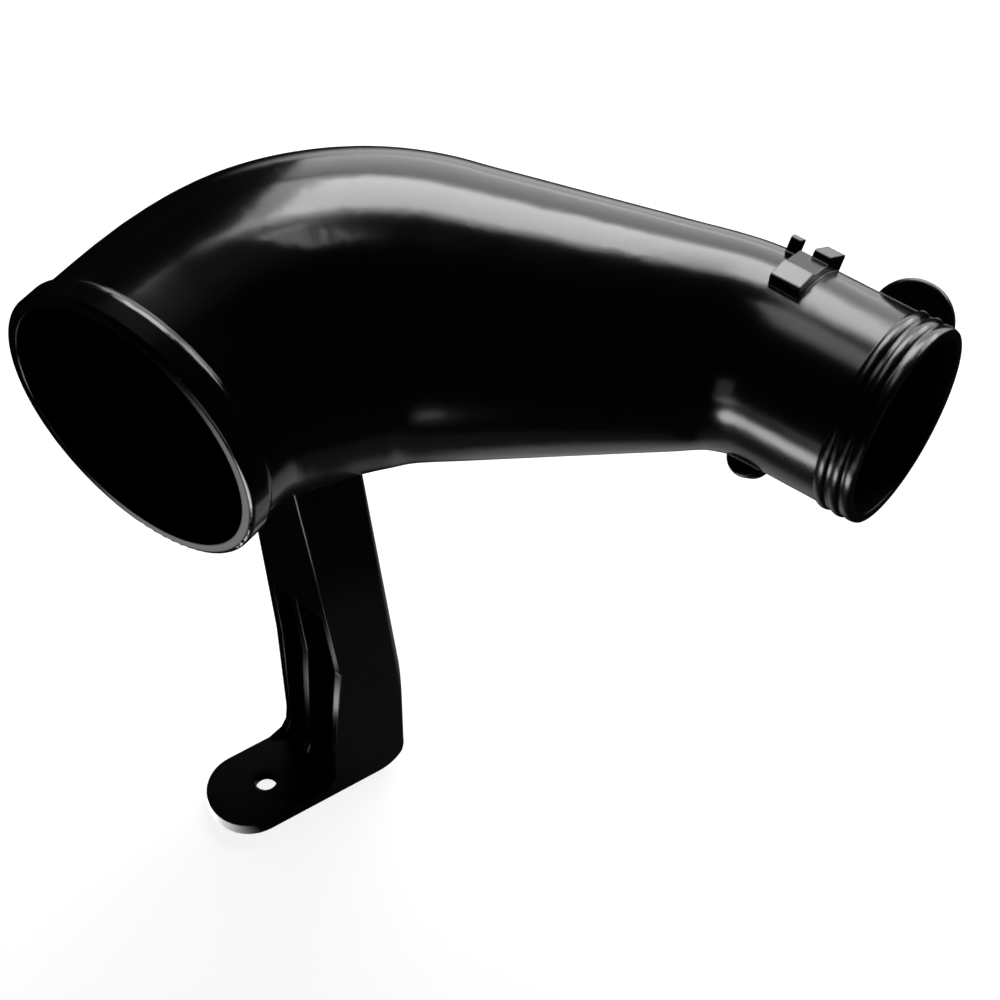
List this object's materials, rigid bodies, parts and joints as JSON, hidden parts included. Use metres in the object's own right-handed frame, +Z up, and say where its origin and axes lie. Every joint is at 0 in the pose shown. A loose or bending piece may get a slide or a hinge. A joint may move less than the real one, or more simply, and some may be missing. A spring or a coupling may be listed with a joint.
{
  "type": "moulded air intake duct",
  "caption": "Black moulded plastic air duct for an engine intake: wide collared inlet, elbow, tapering body, beaded outlet neck and a channel leg with a bolt foot.",
  "frame": {"origin": "centre of the bolt hole on the underside of the foot", "axes": "+Z up along the bolt; the outlet neck points along +X; the inlet opens close to -Y"},
  "size_m": [0.2243, 0.1806, 0.2003],
  "materials": {
    "black_plastic": "satin"
  },
  "bodies": {
    "root": {"intake_duct": "black_plastic"}
  },
  "joints": []
}
